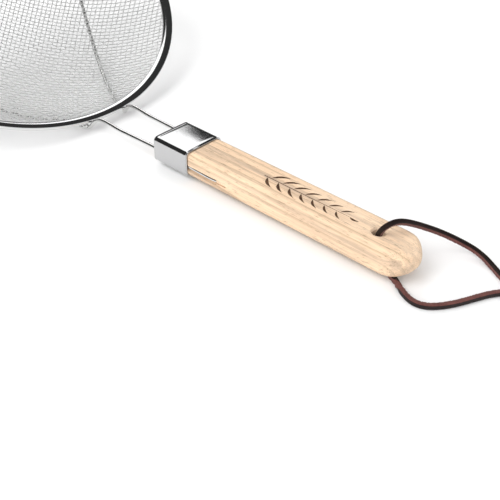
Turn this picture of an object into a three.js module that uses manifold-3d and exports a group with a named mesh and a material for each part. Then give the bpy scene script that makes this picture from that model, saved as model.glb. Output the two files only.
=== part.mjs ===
// A long-handled tea strainer: a woven wire bowl in a rolled rim, carried by two bent
// steel wires that run through a flat ferrule into a wooden handle with a leather lace.
// Millimetres, +Z up. The strainer lies on a table (z = 0) with its handle along +X, propped
// on the lace, and the origin is under the middle of the box round everything but the lace.

import * as THREE from "three";
import { mergeVertices } from "three/addons/utils/BufferGeometryUtils.js";
import Module from "manifold-3d";

const wasm = await Module();
wasm.setup();

// ---- driving dimensions ----
const RIM_RADIUS = 90; // to the middle of the rolled rim
const RIM_TILT = THREE.MathUtils.degToRad(29.8); // rim plane against the handle
const RIM_LOW_HEIGHT = 5.9; // middle of the rim above the table, on the handle side
const BOWL_DEPTH_SHARE = 0.3822; // of the rim's radius
const BOWL_DEPTH = BOWL_DEPTH_SHARE * RIM_RADIUS;
const BOWL_FULLNESS = 2.7; // exponent of the bowl's profile: 2 is a parabola, more is flatter
const MESH_THICKNESS = 0.2; // solid that stands for the woven wire
const MESH_EDGE_INSET = 1.0; // mesh ends inside the rolled rim, short of its core

const HEM_WIDTH = 5.4; // rolled rim, across the wall
const HEM_THICKNESS = 2.8;
const HEM_WALL = 0.4;
const HEM_TILT = THREE.MathUtils.degToRad(15); // outer edge up
const HEM_SLOT = 0.9; // mouth that the mesh enters
const CORE_WIRE_DIAMETER = 1.2; // ring wire inside the rolled rim
const CORE_WIRE_SEAT = 0.32; // how far out it sits, as a share of half the hollow

const WIRE_DIAMETER = 2.0; // handle and support wires
const WIRE_SPACING_RIM = 20.6; // just before they dip under the rim
const WIRE_DROP_MOUTH = 0.6; // below the handle's middle, at the ferrule's mouth
const WIRE_DROP_HOOK = 1.5;
const DIP_START = 6.8; // before the rim's middle, along the handle
const DIP_REACH = 0.55; // outside the rim, as a share of the way clear of the hem
const DIP_HEIGHT = 3.1; // below the rim's plane
const DIP_SPREAD = 1.4; // outwards, past the spacing at the rim
const UNDER_RIM_HEIGHT = 4.0;
const UNDER_RIM_SPREAD = 3.6;
const UNDER_RIM_INSET = 0.6;
const SUPPORT_START_SPACING = 27.2; // where the supports start under the bowl
const SUPPORT_START_REACH = 85; // that place's distance from the bowl's axis along the handle
const SUPPORT_SPREAD = 0.66; // sideways per unit along the handle, to begin with
const SUPPORT_CURL = 0.0016; // and how fast the supports turn back
const SUPPORT_END_REACH = -44;
const SUPPORT_STEPS = 9;
const HOOK_DEPTH = 4.6; // how far the wire's end turns into the wood
const HOOK_BEND = 2.2;
const HOOK_CORNER = 0.22; // share of the bend that its corner keeps
const HOOK_HOLE_EASE = 0.5; // hook's hole wider than the groove, for the bend

const HANDLE_HEIGHT = 8.7; // handle's middle above the table
const HANDLE_LIFT = THREE.MathUtils.degToRad(0.22); // the lace props up the handle's end
const FERRULE_GAP = 48.3; // rim to ferrule along the handle
const FERRULE_LENGTH = 21.8;
const FERRULE_WIDTH = 22.2;
const FERRULE_THICKNESS = 12.6;
const FERRULE_WALL = 0.6;
const FERRULE_CORNER = 2.2;

const GRIP_LENGTH = 119.9; // wood past the ferrule
const GRIP_WIDTH = FERRULE_WIDTH - FERRULE_WALL;
const GRIP_THICKNESS = 12.2;
const GRIP_EDGE_RADIUS = 3.4;
const END_ROUND = 1.15; // length of the round end, and the fullness of its two curves
const END_BULGE = 0.3;
const END_FLAT = 0.1;
const NECK_SETBACK = 0.8; // wood stops this far inside the ferrule's mouth
const NECK_OVERLAP = 2; // and runs this far into the grip
const NECK_LEAST_CORNER = 0.4;
const WIRE_RUN_IN_GRIP = 18; // groove past the ferrule
const SAW_OVERRUN = 6;
const SAW_KERF = 0.7;
const SAW_DEPTH = 1.2;
const HOLE_DIAMETER = 5.4;
const HOLE_FROM_END = 19.7;
const HOLE_CHAMFER = 0.8;

const LACE_WIDTH = 2.2;

// ---- fits ----
const CLEARANCE = 0.3; // between pieces that touch
const SUPPORT_GAP = 0.5; // between a support wire and the woven bowl above it
const CUT_PAST = 1; // how far a cut runs past the face it opens
const ROUND_STEPS = 72; // round the bowl
const MESH_RINGS = 11;
const HEM_POINTS = 14;
const WIRE_SIDES = 8;
const WIRE_STEPS = 88;
const LACE_STEPS = 38;
const BORE_SIDES = 12;
const HOLE_SIDES = 24;
const EDGE_STEPS = 4; // round the grip's long edges
const END_STEPS = 8; // along each curve of its round end
const KNOT_SIDES = 14;
const KNOT_RINGS = 10;

const STEEL = { color: 0xc9cbcc, metalness: 1.0, roughness: 0.22 };
const MESH_STEEL = { color: 0xd2d4d5, metalness: 1.0, roughness: 0.35 };
const WOOD = { color: 0xe3c49b, metalness: 0.0, roughness: 0.62 };
const LEATHER = { color: 0x4a2c24, metalness: 0.0, roughness: 0.7 };

// ---- derived places, in a bench frame with the bowl's axis at x = 0 ----
const rimCentreHeight = RIM_LOW_HEIGHT + RIM_RADIUS * Math.sin(RIM_TILT);
const rimHandleX = RIM_RADIUS * Math.cos(RIM_TILT);
const ferruleStart = rimHandleX + FERRULE_GAP;
const ferruleEnd = ferruleStart + FERRULE_LENGTH;
const gripEnd = ferruleEnd + GRIP_LENGTH;
const holeX = gripEnd - HOLE_FROM_END;
const gripUnderside = HANDLE_HEIGHT - GRIP_THICKNESS / 2;
const rimTurn = new THREE.Matrix4()
  .makeTranslation(0, 0, rimCentreHeight)
  .multiply(new THREE.Matrix4().makeRotationY(RIM_TILT));

// ---- solids ----
function solidOf(geometry) {
  const bare = geometry.clone();
  bare.deleteAttribute("normal");
  bare.deleteAttribute("uv");
  const merged = mergeVertices(bare, 1e-4);
  return new wasm.Manifold(
    new wasm.Mesh({
      numProp: 3,
      vertProperties: merged.attributes.position.array,
      triVerts: new Uint32Array(merged.index.array),
    }),
  );
}

function geometryOf(solid) {
  const { vertProperties, triVerts } = solid.getMesh();
  const geometry = new THREE.BufferGeometry();
  geometry.setAttribute("position", new THREE.BufferAttribute(vertProperties, 3));
  geometry.setIndex(new THREE.BufferAttribute(triVerts, 1));
  geometry.computeVertexNormals();
  return geometry;
}

function piece(name, geometry, look) {
  const mesh = new THREE.Mesh(geometry, new THREE.MeshStandardMaterial(look));
  mesh.name = name;
  return mesh;
}

function roundedRectangle(width, height, radius) {
  const w = width / 2 - radius;
  const h = height / 2 - radius;
  const shape = new THREE.Shape();
  shape.absarc(w, h, radius, 0, Math.PI / 2);
  shape.absarc(-w, h, radius, Math.PI / 2, Math.PI);
  shape.absarc(-w, -h, radius, Math.PI, 1.5 * Math.PI);
  shape.absarc(w, -h, radius, 1.5 * Math.PI, 2 * Math.PI);
  return shape;
}

// A section drawn in (y, z), run along the handle from one x to another at the handle's height.
function alongHandle(shape, fromX, toX, curveSegments = 5) {
  const options = { depth: toX - fromX, bevelEnabled: false, curveSegments };
  return new THREE.ExtrudeGeometry(shape, options)
    .rotateZ(Math.PI / 2)
    .rotateY(Math.PI / 2)
    .translate(fromX, 0, HANDLE_HEIGHT);
}

function roundWire(curve, diameter, steps) {
  const section = new THREE.Shape();
  for (let i = 0; i < WIRE_SIDES; i++) {
    const angle = (2 * Math.PI * (i + 0.5)) / WIRE_SIDES;
    const x = (diameter / 2) * Math.cos(angle);
    const y = (diameter / 2) * Math.sin(angle);
    if (i === 0) section.moveTo(x, y);
    else section.lineTo(x, y);
  }
  section.closePath();
  return new THREE.ExtrudeGeometry(section, { steps, extrudePath: curve, curveSegments: 1 });
}

// ---- bowl ----
function bowlHeight(radius) {
  return -BOWL_DEPTH * (1 - Math.pow(radius / RIM_RADIUS, BOWL_FULLNESS));
}

function bowlSlope(radius) {
  const share = Math.pow(radius / RIM_RADIUS, BOWL_FULLNESS - 1);
  return (BOWL_DEPTH * BOWL_FULLNESS * share) / RIM_RADIUS;
}

// A profile drawn in (radius, height) spun about the bowl's axis and set at the rim's tilt.
function spun(profile) {
  return new THREE.LatheGeometry(profile, ROUND_STEPS).rotateX(Math.PI / 2).applyMatrix4(rimTurn);
}

// A point of the bowl's wall, moved square to the wall by an offset (up is positive).
function wallPoint(radius, offset) {
  const slope = Math.atan(bowlSlope(radius));
  return new THREE.Vector2(
    Math.max(0, radius - offset * Math.sin(slope)),
    bowlHeight(radius) + offset * Math.cos(slope),
  );
}

function meshBowl() {
  const edge = RIM_RADIUS - MESH_EDGE_INSET;
  const radii = [];
  for (let i = 0; i <= MESH_RINGS; i++) radii.push((edge * i) / MESH_RINGS);
  const lower = radii.map((r) => wallPoint(r, -MESH_THICKNESS / 2));
  const upper = radii.map((r) => wallPoint(r, MESH_THICKNESS / 2)).reverse();
  upper[upper.length - 1].x = 0;
  return spun([...lower, ...upper]);
}

// A point of an oval in the rim's section, turned by the hem's tilt.
function hemPoint(width, thickness, angle) {
  const x = (width / 2) * Math.cos(angle);
  const y = (thickness / 2) * Math.sin(angle);
  const turned = new THREE.Vector2(x, y).rotateAround(new THREE.Vector2(), HEM_TILT);
  return turned.add(new THREE.Vector2(RIM_RADIUS, 0));
}

// The oval's own angle at which the bowl's wall comes in, low on the inside.
function hemMouthAngle() {
  const wall = Math.atan(bowlSlope(RIM_RADIUS)) - HEM_TILT;
  return Math.PI + Math.atan2(Math.sin(wall) / HEM_THICKNESS, Math.cos(wall) / HEM_WIDTH);
}

// The rolled strip: an oval tube with a mouth for the mesh, closed on itself as a C.
function rimHem() {
  const halfMouth = HEM_SLOT / HEM_THICKNESS;
  const start = hemMouthAngle() + halfMouth;
  const sweep = 2 * Math.PI - 2 * halfMouth;
  const angles = [];
  for (let i = 0; i <= HEM_POINTS; i++) angles.push(start + (sweep * i) / HEM_POINTS);
  const outer = angles.map((a) => hemPoint(HEM_WIDTH, HEM_THICKNESS, a));
  const hollow = [HEM_WIDTH - 2 * HEM_WALL, HEM_THICKNESS - 2 * HEM_WALL];
  const inner = angles.map((a) => hemPoint(hollow[0], hollow[1], a)).reverse();
  return spun([...outer, ...inner, outer[0].clone()]);
}

// The ring wire sits in the outer half of the hem, clear of the mesh's edge.
function rimCoreWire() {
  const seat = (HEM_WIDTH / 2 - HEM_WALL) * CORE_WIRE_SEAT;
  const profile = [];
  for (let i = 0; i <= WIRE_SIDES; i++) {
    const angle = (2 * Math.PI * i) / WIRE_SIDES;
    const x = seat + (CORE_WIRE_DIAMETER / 2) * Math.cos(angle);
    const y = (CORE_WIRE_DIAMETER / 2) * Math.sin(angle);
    const turned = new THREE.Vector2(x, y).rotateAround(new THREE.Vector2(), HEM_TILT);
    profile.push(turned.add(new THREE.Vector2(RIM_RADIUS, 0)));
  }
  profile[WIRE_SIDES] = profile[0].clone();
  return spun(profile);
}

// ---- frame wires ----
const wireRadius = WIRE_DIAMETER / 2;
const hookX = ferruleEnd + WIRE_RUN_IN_GRIP;
const wireSpacingHandle = FERRULE_WIDTH - 2 * (FERRULE_WALL + CLEARANCE) - WIRE_DIAMETER;

// Height of the wires' middle from the gap to the hooks: they sink a little on the way.
function wireHeight(x) {
  const share = THREE.MathUtils.clamp((x - ferruleStart) / (hookX - ferruleStart), 0, 1);
  return HANDLE_HEIGHT - THREE.MathUtils.lerp(WIRE_DROP_MOUTH, WIRE_DROP_HOOK, share);
}

// Height of a support wire's middle under the bowl, in the rim's frame.
function supportHeight(radius) {
  const gap = MESH_THICKNESS / 2 + SUPPORT_GAP + wireRadius;
  const underWall = bowlHeight(radius) - gap * Math.hypot(1, bowlSlope(radius));
  const hemDepth = HEM_THICKNESS / 2 + CLEARANCE + wireRadius;
  return Math.min(underWall, -hemDepth);
}

function supportPoint(reach, side, y) {
  const radius = Math.min(Math.hypot(reach, y), RIM_RADIUS);
  return new THREE.Vector3(reach, side * y, supportHeight(radius)).applyMatrix4(rimTurn);
}

// One wire: hooked into the wood, along its side groove, through the ferrule, across the
// gap, down and out under the rim, then spreading under the bowl to the far rim.
function frameWireCurve(side) {
  const yHandle = (side * wireSpacingHandle) / 2;
  const yRim = (side * WIRE_SPACING_RIM) / 2;
  const at = (x, y) => new THREE.Vector3(x, y, wireHeight(x));
  const grooveLength = hookX - HOOK_BEND - ferruleStart;
  const points = [
    at(hookX, yHandle - side * HOOK_DEPTH),
    at(hookX, yHandle - side * HOOK_BEND),
    at(hookX - HOOK_CORNER * HOOK_BEND, yHandle - side * HOOK_CORNER * HOOK_BEND),
    at(hookX - HOOK_BEND, yHandle),
    at(hookX - HOOK_BEND - grooveLength / 2, yHandle),
    at(ferruleStart, yHandle),
    at(ferruleStart - FERRULE_GAP / 2, (yHandle + yRim) / 2),
    at(rimHandleX + DIP_START, yRim),
  ];
  const hemClear = HEM_WIDTH / 2 + CLEARANCE + wireRadius;
  const dips = [
    [RIM_RADIUS + DIP_REACH * hemClear, yRim + side * DIP_SPREAD, -DIP_HEIGHT],
    [RIM_RADIUS - UNDER_RIM_INSET, yRim + side * UNDER_RIM_SPREAD, -UNDER_RIM_HEIGHT],
  ];
  for (const dip of dips) points.push(new THREE.Vector3(...dip).applyMatrix4(rimTurn));
  for (let i = 0; i <= SUPPORT_STEPS; i++) {
    const along = (i / SUPPORT_STEPS) * (SUPPORT_START_REACH - SUPPORT_END_REACH);
    const y = SUPPORT_START_SPACING / 2 + (SUPPORT_SPREAD - SUPPORT_CURL * along) * along;
    points.push(supportPoint(SUPPORT_START_REACH - along, side, y));
  }
  return new THREE.CatmullRomCurve3(points, false, "centripetal");
}

function frameWire(side) {
  return roundWire(frameWireCurve(side), WIRE_DIAMETER, WIRE_STEPS);
}

// ---- ferrule ----
function ferrule() {
  const section = roundedRectangle(FERRULE_WIDTH, FERRULE_THICKNESS, FERRULE_CORNER);
  section.holes.push(
    roundedRectangle(
      FERRULE_WIDTH - 2 * FERRULE_WALL,
      FERRULE_THICKNESS - 2 * FERRULE_WALL,
      FERRULE_CORNER - FERRULE_WALL,
    ),
  );
  return alongHandle(section, ferruleStart, ferruleEnd);
}

// ---- wooden grip ----
// Plan outline with a round end; the bevel rounds every long edge.
function gripBody() {
  const half = GRIP_WIDTH / 2 - GRIP_EDGE_RADIUS;
  const endX = gripEnd - GRIP_EDGE_RADIUS;
  const endRadius = END_ROUND * half;
  const plan = new THREE.Shape();
  plan.moveTo(ferruleStart, -half);
  plan.lineTo(endX - endRadius, -half);
  plan.quadraticCurveTo(endX - END_BULGE * endRadius, -half, endX, -END_FLAT * half);
  plan.lineTo(endX, END_FLAT * half);
  plan.quadraticCurveTo(endX - END_BULGE * endRadius, half, endX - endRadius, half);
  plan.lineTo(ferruleStart, half);
  plan.closePath();
  const flat = GRIP_THICKNESS - 2 * GRIP_EDGE_RADIUS;
  const body = new THREE.ExtrudeGeometry(plan, {
    depth: flat,
    bevelThickness: GRIP_EDGE_RADIUS,
    bevelSize: GRIP_EDGE_RADIUS,
    bevelSegments: EDGE_STEPS,
    curveSegments: END_STEPS,
  });
  return solidOf(body.translate(0, 0, gripUnderside + GRIP_EDGE_RADIUS));
}

function grooveCut(side) {
  const bore = WIRE_DIAMETER + 2 * CLEARANCE;
  const y = (side * wireSpacingHandle) / 2;
  const high = wireHeight(ferruleStart);
  const level = wireHeight(hookX);
  const rise = high - level;
  const length = hookX + bore / 2 - ferruleStart;
  const middleX = ferruleStart + length / 2;
  const lean = Math.atan2(rise, hookX - ferruleStart);
  const slot = new THREE.BoxGeometry(length, bore + 2 * CUT_PAST, bore);
  slot.rotateY(lean).translate(middleX, y + side * (bore / 2 + CUT_PAST), level + rise / 2);
  const bed = new THREE.CylinderGeometry(bore / 2, bore / 2, length, BORE_SIDES);
  bed.rotateZ(Math.PI / 2).rotateY(lean).translate(middleX, y, level + rise / 2);
  const hookLength = HOOK_DEPTH + CLEARANCE;
  const hookBore = bore / 2 + HOOK_HOLE_EASE;
  const hook = new THREE.CylinderGeometry(hookBore, hookBore, hookLength, BORE_SIDES);
  hook.translate(hookX, y - (side * hookLength) / 2, level);
  const sawLength = SAW_OVERRUN + bore;
  const saw = new THREE.BoxGeometry(sawLength, 2 * SAW_DEPTH, SAW_KERF);
  saw.translate(hookX + sawLength / 2, (side * GRIP_WIDTH) / 2, level);
  return solidOf(slot).add(solidOf(bed)).add(solidOf(hook)).add(solidOf(saw));
}

function laceHoleCut() {
  const r = HOLE_DIAMETER / 2;
  const h = GRIP_THICKNESS / 2;
  const profile = [
    new THREE.Vector2(0, -h - CUT_PAST),
    new THREE.Vector2(r + HOLE_CHAMFER + CUT_PAST, -h - CUT_PAST),
    new THREE.Vector2(r, -h + HOLE_CHAMFER),
    new THREE.Vector2(r, h - HOLE_CHAMFER),
    new THREE.Vector2(r + HOLE_CHAMFER + CUT_PAST, h + CUT_PAST),
    new THREE.Vector2(0, h + CUT_PAST),
  ];
  const cut = new THREE.LatheGeometry(profile, HOLE_SIDES).rotateX(Math.PI / 2);
  return solidOf(cut.translate(holeX, 0, HANDLE_HEIGHT));
}

function grip() {
  const shoulder = ferruleEnd + CLEARANCE;
  const length = gripEnd + CUT_PAST - shoulder;
  const behind = new THREE.BoxGeometry(length, 2 * GRIP_WIDTH, 2 * GRIP_THICKNESS);
  behind.translate(shoulder + length / 2, 0, HANDLE_HEIGHT);
  const inset = 2 * (FERRULE_WALL + CLEARANCE);
  const corner = Math.max(NECK_LEAST_CORNER, FERRULE_CORNER - FERRULE_WALL - CLEARANCE);
  const section = roundedRectangle(FERRULE_WIDTH - inset, FERRULE_THICKNESS - inset, corner);
  const neckFrom = ferruleStart + NECK_SETBACK;
  const neck = solidOf(alongHandle(section, neckFrom, shoulder + NECK_OVERLAP));
  let wood = gripBody().intersect(solidOf(behind)).add(neck);
  for (const side of [-1, 1]) wood = wood.subtract(grooveCut(side));
  return geometryOf(wood.subtract(laceHoleCut()));
}

// ---- lace ----
// Both strands start in the middle of the hole. Their points are measured from the hole on
// the table: one climbs out of the top and over the far edge, the other runs out under the
// handle's end, and both lie on the table as far as the knot.
const UPPER_STRAND = [
  [0, 0, 9.0],
  [0.2, -0.4, 12.2],
  [1.2, -1.2, 15.4],
  [3.0, -0.9, 18.6],
  [4.6, 1.5, 20.2],
  [5.5, 5.2, 19.6],
  [6.6, 9.6, 17.7],
  [8.7, 15.5, 14.4],
  [13.2, 22.8, 9.9],
  [19.0, 27.7, 6.4],
  [26.2, 30.3, 3.8],
  [31.9, 30.1, 2.4],
  [37.6, 28.0, 1.6],
  [43.9, 24.9, 1.3],
  [49.1, 22.9, 1.5],
];
const LOWER_STRAND = [
  [0, 0, 8.6],
  [-0.2, 0.1, 6.4],
  [0.1, 0.0, 4.4],
  [1.4, -0.6, 2.3],
  [3.6, -1.5, 1.4],
  [7.5, -3.2, 1.3],
  [13.3, -5.8, 1.3],
  [19.1, -9.3, 1.3],
  [24.7, -11.9, 1.3],
  [28.6, -12.4, 1.3],
  [32.3, -11.2, 1.3],
  [36.2, -7.5, 1.3],
  [40.1, -1.3, 1.3],
  [43.4, 6.1, 1.3],
  [46.4, 12.4, 1.3],
  [50.9, 18.6, 1.5],
];
const KNOT_PLACE = new THREE.Vector3(52.6, 22.2, 2.6);
const KNOT_SIZE = [6.4, 6.4, 4.8];
const ROUTE_TOP = 14.81; // height of the handle's top that the two routes are made for
const TAIL_LENGTH = 13;
const TAIL_LIFT = 0.2; // above the table
const TAIL_ANGLES = [12, 58]; // degrees, on the table

function laceStrand(points, top) {
  const route = points.map(([x, y, z]) => new THREE.Vector3(x, y, (z * top) / ROUTE_TOP));
  const curve = new THREE.CatmullRomCurve3(route);
  return roundWire(curve, LACE_WIDTH, LACE_STEPS);
}

// The knot's outer shape with its two cut tails.
function laceKnot() {
  const ball = new THREE.SphereGeometry(0.5, KNOT_SIDES, KNOT_RINGS).scale(...KNOT_SIZE);
  let knot = solidOf(ball.translate(...KNOT_PLACE.toArray()));
  for (const angle of TAIL_ANGLES) {
    const tail = new THREE.BoxGeometry(TAIL_LENGTH, LACE_WIDTH, LACE_WIDTH);
    tail.translate(TAIL_LENGTH / 2, 0, 0).rotateZ(THREE.MathUtils.degToRad(angle));
    tail.translate(KNOT_PLACE.x, KNOT_PLACE.y, LACE_WIDTH / 2 + TAIL_LIFT);
    knot = knot.add(solidOf(tail));
  }
  return geometryOf(knot);
}

// ---- assembly ----
const strainer = new THREE.Group();
strainer.add(piece("mesh_bowl", meshBowl(), MESH_STEEL));
strainer.add(piece("rim_hem", rimHem(), STEEL));
strainer.add(piece("rim_core_wire", rimCoreWire(), STEEL));
strainer.add(piece("frame_wire_right", frameWire(-1), STEEL));
strainer.add(piece("frame_wire_left", frameWire(1), STEEL));
strainer.add(piece("ferrule", ferrule(), STEEL));
strainer.add(piece("handle_grip", grip(), WOOD));

strainer.rotation.y = -HANDLE_LIFT;
const box = new THREE.Box3().setFromObject(strainer, true);
strainer.position.set(-(box.min.x + box.max.x) / 2, 0, -box.min.z);
strainer.updateMatrixWorld(true);
const hole = new THREE.Vector3(holeX, 0, gripUnderside).applyMatrix4(strainer.matrixWorld);
const handleTop = hole.z + GRIP_THICKNESS;

const lace = new THREE.Group();
lace.add(piece("lace_strand_upper", laceStrand(UPPER_STRAND, handleTop), LEATHER));
lace.add(piece("lace_strand_lower", laceStrand(LOWER_STRAND, handleTop), LEATHER));
lace.add(piece("lace_knot", laceKnot(), LEATHER));
lace.position.set(hole.x, 0, 0);

const group = new THREE.Group();
group.add(strainer, lace);

export default group;
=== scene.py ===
"""A long-handled tea strainer lying on a white table: woven bowl, rolled rim, bent frame
wires, ferrule, wooden grip and leather lace. Metres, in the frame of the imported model."""

import math

import bmesh
import bpy
import numpy as np
from mathutils import Matrix, Vector


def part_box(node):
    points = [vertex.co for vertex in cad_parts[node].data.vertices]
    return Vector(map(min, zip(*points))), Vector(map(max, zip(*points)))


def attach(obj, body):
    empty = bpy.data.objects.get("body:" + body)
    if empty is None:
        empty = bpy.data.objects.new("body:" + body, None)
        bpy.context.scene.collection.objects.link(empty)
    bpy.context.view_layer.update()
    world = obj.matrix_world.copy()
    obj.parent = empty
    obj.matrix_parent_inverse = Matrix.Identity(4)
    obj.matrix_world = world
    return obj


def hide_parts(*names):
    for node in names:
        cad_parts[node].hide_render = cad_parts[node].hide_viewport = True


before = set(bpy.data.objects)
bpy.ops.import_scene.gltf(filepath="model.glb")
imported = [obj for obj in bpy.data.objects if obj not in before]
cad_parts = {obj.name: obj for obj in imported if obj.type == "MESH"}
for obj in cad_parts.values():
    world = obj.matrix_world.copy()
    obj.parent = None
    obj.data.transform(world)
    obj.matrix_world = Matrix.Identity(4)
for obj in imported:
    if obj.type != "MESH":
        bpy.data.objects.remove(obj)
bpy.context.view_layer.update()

MM = 0.001
BODY = "root"

# ---- sizes of the strainer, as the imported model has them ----
RIM_RADIUS = 90 * MM
RIM_TILT = math.radians(29.8)
RIM_LOW_HEIGHT = 5.9 * MM
HANDLE_LIFT = math.radians(0.22)
HANDLE_HEIGHT = 8.7 * MM
BOWL_DEPTH = 34.4 * MM
BOWL_FULLNESS = 2.7

HEM_WIDTH = 5.4 * MM
HEM_THICKNESS = 2.8 * MM
HEM_TILT = math.radians(15)

MESH_PITCH = 2.4 * MM
MESH_WIRE = 0.54 * MM
MESH_RISE = 0.42 * MM
MESH_EDGE = 89.2 * MM
MESH_WOBBLE = 0.02 * MM
MESH_TURN = math.radians(45)
MESH_END_GAP = 0.2 * MM

WIRE_DIAMETER = 2.0 * MM
WIRE_SPACING_HANDLE = 18.4 * MM
WIRE_SPACING_RIM = 20.6 * MM
SUPPORT_START_SPACING = 27.2 * MM
SUPPORT_START_REACH = 85 * MM
SUPPORT_SPREAD = 0.66
SUPPORT_CURL = 0.0016 / MM
WIRE_DROP_MOUTH = 0.6 * MM
WIRE_DROP_HOOK = 1.5 * MM
SUPPORT_END_REACH = -44 * MM
SUPPORT_STEPS = 9
SUPPORT_GAP = 0.5 * MM
DIP_START = 6.8 * MM
DIP_HEIGHT = 3.1 * MM
DIP_SPREAD = 1.4 * MM
UNDER_RIM_HEIGHT = 4.0 * MM
UNDER_RIM_SPREAD = 3.6 * MM
UNDER_RIM_INSET = 0.6 * MM
DIP_REACH = 0.55
CLEARANCE = 0.3 * MM
MESH_SHELL_HALF = 0.1 * MM
HOOK_CORNER_SHARE = 0.22
WIRE_SIDES = 20
HOOK_DEPTH = 4.6 * MM
HOOK_BEND = 2.2 * MM
WIRE_RUN_IN_GRIP = 18 * MM

FERRULE_GAP = 48.3 * MM
FERRULE_LENGTH = 21.8 * MM
FERRULE_WIDTH = 22.2 * MM
FERRULE_THICKNESS = 12.6 * MM
FERRULE_WALL = 0.6 * MM
FERRULE_CORNER = 2.2 * MM

GRIP_LENGTH = 119.9 * MM
GRIP_WIDTH = 21.6 * MM
GRIP_THICKNESS = 12.2 * MM
GRIP_EDGE_RADIUS = 3.4 * MM
HOLE_FROM_END = 19.7 * MM
HOLE_DIAMETER = 5.4 * MM
LACE_WIDTH = 2.2 * MM

# ---- places: the bench frame has the bowl's axis at x = 0 and the handle along +X ----
RIM_HANDLE_X = RIM_RADIUS * math.cos(RIM_TILT)
RIM_CENTRE_HEIGHT = RIM_LOW_HEIGHT + RIM_RADIUS * math.sin(RIM_TILT)
FERRULE_START = RIM_HANDLE_X + FERRULE_GAP
FERRULE_END = FERRULE_START + FERRULE_LENGTH
GRIP_END = FERRULE_END + GRIP_LENGTH
HOLE_X = GRIP_END - HOLE_FROM_END
HOOK_X = FERRULE_END + WIRE_RUN_IN_GRIP


def bench_matrix():
    """The bench frame in the row's frame, found from where the ferrule lies."""
    low, high = (Vector(corner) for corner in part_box("ferrule"))
    turn = Matrix.Rotation(-HANDLE_LIFT, 4, "Y")
    middle = Vector((FERRULE_START + FERRULE_LENGTH / 2, 0, HANDLE_HEIGHT))
    return Matrix.Translation((low + high) / 2 - turn @ middle) @ turn


BENCH = bench_matrix()
RIM = BENCH @ Matrix.Translation((0, 0, RIM_CENTRE_HEIGHT)) @ Matrix.Rotation(RIM_TILT, 4, "Y")
HOLE = BENCH @ Vector((HOLE_X, 0, HANDLE_HEIGHT))


# ---- camera ----
CAMERA_ANGLES = (43.0, 35.9, 0.56)  # azimuth, elevation and roll in degrees
CAMERA_DISTANCE = 0.4146
CAMERA_TARGET = Vector((0.1120, -0.0300, 0))
CAMERA_LENS = 71.9


def add_camera():
    azimuth, elevation, roll = (math.radians(a) for a in CAMERA_ANGLES)
    back = Vector(
        (
            math.sin(azimuth) * math.cos(elevation),
            -math.cos(azimuth) * math.cos(elevation),
            math.sin(elevation),
        )
    )
    right = Vector((math.cos(azimuth), math.sin(azimuth), 0))
    up = back.cross(right)
    turned_right = math.cos(roll) * right + math.sin(roll) * up
    turned_up = -math.sin(roll) * right + math.cos(roll) * up
    data = bpy.data.cameras.new("camera")
    data.sensor_width = 36
    data.lens = CAMERA_LENS
    data.clip_start = 10 * MM
    camera = bpy.data.objects.new("camera", data)
    pose = Matrix((turned_right, turned_up, back)).transposed().to_4x4()
    pose.translation = CAMERA_TARGET + back * CAMERA_DISTANCE
    camera.matrix_world = pose
    bpy.context.collection.objects.link(camera)
    bpy.context.scene.camera = camera


add_camera()


# ---- material helpers ----
def new_material(name):
    material = bpy.data.materials.new(name)
    material.use_nodes = True
    tree = material.node_tree
    return material, tree, tree.nodes["Principled BSDF"]


def add_node(tree, kind, inputs=None, **settings):
    node = tree.nodes.new(kind)
    for key, value in settings.items():
        setattr(node, key, value)
    for key, value in (inputs or {}).items():
        if isinstance(value, bpy.types.NodeSocket):
            tree.links.new(value, node.inputs[key])
        else:
            node.inputs[key].default_value = value
    return node


def math_node(tree, operation, a, b=0.0, c=0.0):
    return add_node(tree, "ShaderNodeMath", {0: a, 1: b, 2: c}, operation=operation).outputs[0]


def mix_colour(tree, factor, a, b, blend="MIX"):
    node = tree.nodes.new("ShaderNodeMix")
    node.data_type = "RGBA"
    node.blend_type = blend
    for key, value in ((0, factor), (6, a), (7, b)):
        if isinstance(value, bpy.types.NodeSocket):
            tree.links.new(value, node.inputs[key])
        else:
            node.inputs[key].default_value = value
    return node.outputs[2]


def ramp(tree, factor, stops, interpolation="LINEAR"):
    node = add_node(tree, "ShaderNodeValToRGB", {0: factor})
    node.color_ramp.interpolation = interpolation
    elements = node.color_ramp.elements
    while len(elements) < len(stops):
        elements.new(0.5)
    for element, (position, colour) in zip(elements, stops):
        element.position = position
        element.color = colour if len(colour) == 4 else (*colour, 1)
    return node.outputs[0]


def noise(tree, vector, scale, detail=4.0, roughness=0.5, distortion=0.0):
    inputs = {
        "Vector": vector,
        "Scale": scale,
        "Detail": detail,
        "Roughness": roughness,
        "Distortion": distortion,
    }
    return add_node(tree, "ShaderNodeTexNoise", inputs).outputs["Fac"]


def stretched(tree, scale, rotation=(0, 0, 0), location=(0, 0, 0)):
    place = add_node(tree, "ShaderNodeTexCoord").outputs["Object"]
    inputs = {"Vector": place, "Scale": scale, "Rotation": rotation, "Location": location}
    return add_node(tree, "ShaderNodeMapping", inputs).outputs[0]


def bump(tree, shader, height, distance, strength=1.0, normal=None):
    inputs = {"Height": height, "Distance": distance, "Strength": strength}
    if normal is not None:
        inputs["Normal"] = normal
    node = add_node(tree, "ShaderNodeBump", inputs)
    tree.links.new(node.outputs[0], shader.inputs["Normal"])
    return node.outputs[0]


def grey(value):
    return (value, value, value, 1)


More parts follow.
